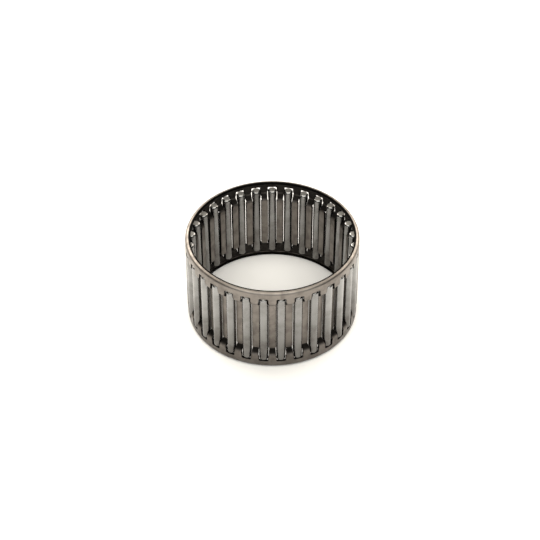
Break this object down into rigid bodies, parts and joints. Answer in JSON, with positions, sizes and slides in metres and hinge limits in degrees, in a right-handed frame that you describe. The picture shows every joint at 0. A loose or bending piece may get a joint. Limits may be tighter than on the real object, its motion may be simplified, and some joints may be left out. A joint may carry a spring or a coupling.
{
  "type": "needle roller bearing",
  "caption": "Radial needle roller and cage assembly: loose cylindrical needles held round a ring by one formed steel cage, open through its bore for a shaft.",
  "frame": {"origin": "centre of the lower end face, on the bearing's axis", "axes": "+Z along the bearing's axis, up from the lower end face; +Y through the first needle"},
  "size_m": [0.047, 0.0469, 0.0268],
  "materials": {
    "cage": "satin grey-brown hardened sheet steel, tumbled, with rubbed edges",
    "needle": "ground and polished bearing steel, fine grinding marks round the needle"
  },
  "bodies": {
    "cage": {"cage": "cage"},
    "needle_01": {"needle_01": "needle"},
    "needle_02": {"needle_02": "needle"},
    "needle_03": {"needle_03": "needle"},
    "needle_04": {"needle_04": "needle"},
    "needle_05": {"needle_05": "needle"},
    "needle_06": {"needle_06": "needle"},
    "needle_07": {"needle_07": "needle"},
    "needle_08": {"needle_08": "needle"},
    "needle_09": {"needle_09": "needle"},
    "needle_10": {"needle_10": "needle"},
    "needle_11": {"needle_11": "needle"},
    "needle_12": {"needle_12": "needle"},
    "needle_13": {"needle_13": "needle"},
    "needle_14": {"needle_14": "needle"},
    "needle_15": {"needle_15": "needle"},
    "needle_16": {"needle_16": "needle"},
    "needle_17": {"needle_17": "needle"},
    "needle_18": {"needle_18": "needle"},
    "needle_19": {"needle_19": "needle"},
    "needle_20": {"needle_20": "needle"},
    "needle_21": {"needle_21": "needle"},
    "needle_22": {"needle_22": "needle"},
    "needle_23": {"needle_23": "needle"},
    "needle_24": {"needle_24": "needle"},
    "needle_25": {"needle_25": "needle"},
    "needle_26": {"needle_26": "needle"},
    "needle_27": {"needle_27": "needle"},
    "needle_28": {"needle_28": "needle"},
    "needle_29": {"needle_29": "needle"},
    "needle_30": {"needle_30": "needle"},
    "needle_31": {"needle_31": "needle"}
  },
  "joints": [
    {"name": "needle_01_spin", "type": "hinge", "parent": "cage", "child": "needle_01", "pos_m": [0, 0.02225, 0.0133], "axis": [0, 0, 1], "continuous": true},
    {"name": "needle_02_spin", "type": "hinge", "parent": "cage", "child": "needle_02", "pos_m": [-0.00448, 0.02179, 0.0133], "axis": [0, 0, 1], "continuous": true},
    {"name": "needle_03_spin", "type": "hinge", "parent": "cage", "child": "needle_03", "pos_m": [-0.00877, 0.02045, 0.0133], "axis": [0, 0, 1], "continuous": true},
    {"name": "needle_04_spin", "type": "hinge", "parent": "cage", "child": "needle_04", "pos_m": [-0.01271, 0.01826, 0.0133], "axis": [0, 0, 1], "continuous": true},
    {"name": "needle_05_spin", "type": "hinge", "parent": "cage", "child": "needle_05", "pos_m": [-0.01613, 0.01533, 0.0133], "axis": [0, 0, 1], "continuous": true},
    {"name": "needle_06_spin", "type": "hinge", "parent": "cage", "child": "needle_06", "pos_m": [-0.01888, 0.01177, 0.0133], "axis": [0, 0, 1], "continuous": true},
    {"name": "needle_07_spin", "type": "hinge", "parent": "cage", "child": "needle_07", "pos_m": [-0.02086, 0.00773, 0.0133], "axis": [0, 0, 1], "continuous": true},
    {"name": "needle_08_spin", "type": "hinge", "parent": "cage", "child": "needle_08", "pos_m": [-0.02199, 0.00337, 0.0133], "axis": [0, 0, 1], "continuous": true},
    {"name": "needle_09_spin", "type": "hinge", "parent": "cage", "child": "needle_09", "pos_m": [-0.02222, -0.00113, 0.0133], "axis": [0, 0, 1], "continuous": true},
    {"name": "needle_10_spin", "type": "hinge", "parent": "cage", "child": "needle_10", "pos_m": [-0.02154, -0.00558, 0.0133], "axis": [0, 0, 1], "continuous": true},
    {"name": "needle_11_spin", "type": "hinge", "parent": "cage", "child": "needle_11", "pos_m": [-0.01998, -0.0098, 0.0133], "axis": [0, 0, 1], "continuous": true},
    {"name": "needle_12_spin", "type": "hinge", "parent": "cage", "child": "needle_12", "pos_m": [-0.01759, -0.01362, 0.0133], "axis": [0, 0, 1], "continuous": true},
    {"name": "needle_13_spin", "type": "hinge", "parent": "cage", "child": "needle_13", "pos_m": [-0.01449, -0.01688, 0.0133], "axis": [0, 0, 1], "continuous": true},
    {"name": "needle_14_spin", "type": "hinge", "parent": "cage", "child": "needle_14", "pos_m": [-0.0108, -0.01945, 0.0133], "axis": [0, 0, 1], "continuous": true},
    {"name": "needle_15_spin", "type": "hinge", "parent": "cage", "child": "needle_15", "pos_m": [-0.00666, -0.02123, 0.0133], "axis": [0, 0, 1], "continuous": true},
    {"name": "needle_16_spin", "type": "hinge", "parent": "cage", "child": "needle_16", "pos_m": [-0.00225, -0.02214, 0.0133], "axis": [0, 0, 1], "continuous": true},
    {"name": "needle_17_spin", "type": "hinge", "parent": "cage", "child": "needle_17", "pos_m": [0.00225, -0.02214, 0.0133], "axis": [0, 0, 1], "continuous": true},
    {"name": "needle_18_spin", "type": "hinge", "parent": "cage", "child": "needle_18", "pos_m": [0.00666, -0.02123, 0.0133], "axis": [0, 0, 1], "continuous": true},
    {"name": "needle_19_spin", "type": "hinge", "parent": "cage", "child": "needle_19", "pos_m": [0.0108, -0.01945, 0.0133], "axis": [0, 0, 1], "continuous": true},
    {"name": "needle_20_spin", "type": "hinge", "parent": "cage", "child": "needle_20", "pos_m": [0.01449, -0.01688, 0.0133], "axis": [0, 0, 1], "continuous": true},
    {"name": "needle_21_spin", "type": "hinge", "parent": "cage", "child": "needle_21", "pos_m": [0.01759, -0.01362, 0.0133], "axis": [0, 0, 1], "continuous": true},
    {"name": "needle_22_spin", "type": "hinge", "parent": "cage", "child": "needle_22", "pos_m": [0.01998, -0.0098, 0.0133], "axis": [0, 0, 1], "continuous": true},
    {"name": "needle_23_spin", "type": "hinge", "parent": "cage", "child": "needle_23", "pos_m": [0.02154, -0.00558, 0.0133], "axis": [0, 0, 1], "continuous": true},
    {"name": "needle_24_spin", "type": "hinge", "parent": "cage", "child": "needle_24", "pos_m": [0.02222, -0.00113, 0.0133], "axis": [0, 0, 1], "continuous": true},
    {"name": "needle_25_spin", "type": "hinge", "parent": "cage", "child": "needle_25", "pos_m": [0.02199, 0.00337, 0.0133], "axis": [0, 0, 1], "continuous": true},
    {"name": "needle_26_spin", "type": "hinge", "parent": "cage", "child": "needle_26", "pos_m": [0.02086, 0.00773, 0.0133], "axis": [0, 0, 1], "continuous": true},
    {"name": "needle_27_spin", "type": "hinge", "parent": "cage", "child": "needle_27", "pos_m": [0.01888, 0.01177, 0.0133], "axis": [0, 0, 1], "continuous": true},
    {"name": "needle_28_spin", "type": "hinge", "parent": "cage", "child": "needle_28", "pos_m": [0.01613, 0.01533, 0.0133], "axis": [0, 0, 1], "continuous": true},
    {"name": "needle_29_spin", "type": "hinge", "parent": "cage", "child": "needle_29", "pos_m": [0.01271, 0.01826, 0.0133], "axis": [0, 0, 1], "continuous": true},
    {"name": "needle_30_spin", "type": "hinge", "parent": "cage", "child": "needle_30", "pos_m": [0.00877, 0.02045, 0.0133], "axis": [0, 0, 1], "continuous": true},
    {"name": "needle_31_spin", "type": "hinge", "parent": "cage", "child": "needle_31", "pos_m": [0.00448, 0.02179, 0.0133], "axis": [0, 0, 1], "continuous": true}
  ],
  "couplings": [
    {"joint": "needle_02_spin", "follows": "needle_01_spin", "ratio": 1},
    {"joint": "needle_03_spin", "follows": "needle_01_spin", "ratio": 1},
    {"joint": "needle_04_spin", "follows": "needle_01_spin", "ratio": 1},
    {"joint": "needle_05_spin", "follows": "needle_01_spin", "ratio": 1},
    {"joint": "needle_06_spin", "follows": "needle_01_spin", "ratio": 1},
    {"joint": "needle_07_spin", "follows": "needle_01_spin", "ratio": 1},
    {"joint": "needle_08_spin", "follows": "needle_01_spin", "ratio": 1},
    {"joint": "needle_09_spin", "follows": "needle_01_spin", "ratio": 1},
    {"joint": "needle_10_spin", "follows": "needle_01_spin", "ratio": 1},
    {"joint": "needle_11_spin", "follows": "needle_01_spin", "ratio": 1},
    {"joint": "needle_12_spin", "follows": "needle_01_spin", "ratio": 1},
    {"joint": "needle_13_spin", "follows": "needle_01_spin", "ratio": 1},
    {"joint": "needle_14_spin", "follows": "needle_01_spin", "ratio": 1},
    {"joint": "needle_15_spin", "follows": "needle_01_spin", "ratio": 1},
    {"joint": "needle_16_spin", "follows": "needle_01_spin", "ratio": 1},
    {"joint": "needle_17_spin", "follows": "needle_01_spin", "ratio": 1},
    {"joint": "needle_18_spin", "follows": "needle_01_spin", "ratio": 1},
    {"joint": "needle_19_spin", "follows": "needle_01_spin", "ratio": 1},
    {"joint": "needle_20_spin", "follows": "needle_01_spin", "ratio": 1},
    {"joint": "needle_21_spin", "follows": "needle_01_spin", "ratio": 1},
    {"joint": "needle_22_spin", "follows": "needle_01_spin", "ratio": 1},
    {"joint": "needle_23_spin", "follows": "needle_01_spin", "ratio": 1},
    {"joint": "needle_24_spin", "follows": "needle_01_spin", "ratio": 1},
    {"joint": "needle_25_spin", "follows": "needle_01_spin", "ratio": 1},
    {"joint": "needle_26_spin", "follows": "needle_01_spin", "ratio": 1},
    {"joint": "needle_27_spin", "follows": "needle_01_spin", "ratio": 1},
    {"joint": "needle_28_spin", "follows": "needle_01_spin", "ratio": 1},
    {"joint": "needle_29_spin", "follows": "needle_01_spin", "ratio": 1},
    {"joint": "needle_30_spin", "follows": "needle_01_spin", "ratio": 1},
    {"joint": "needle_31_spin", "follows": "needle_01_spin", "ratio": 1}
  ]
}
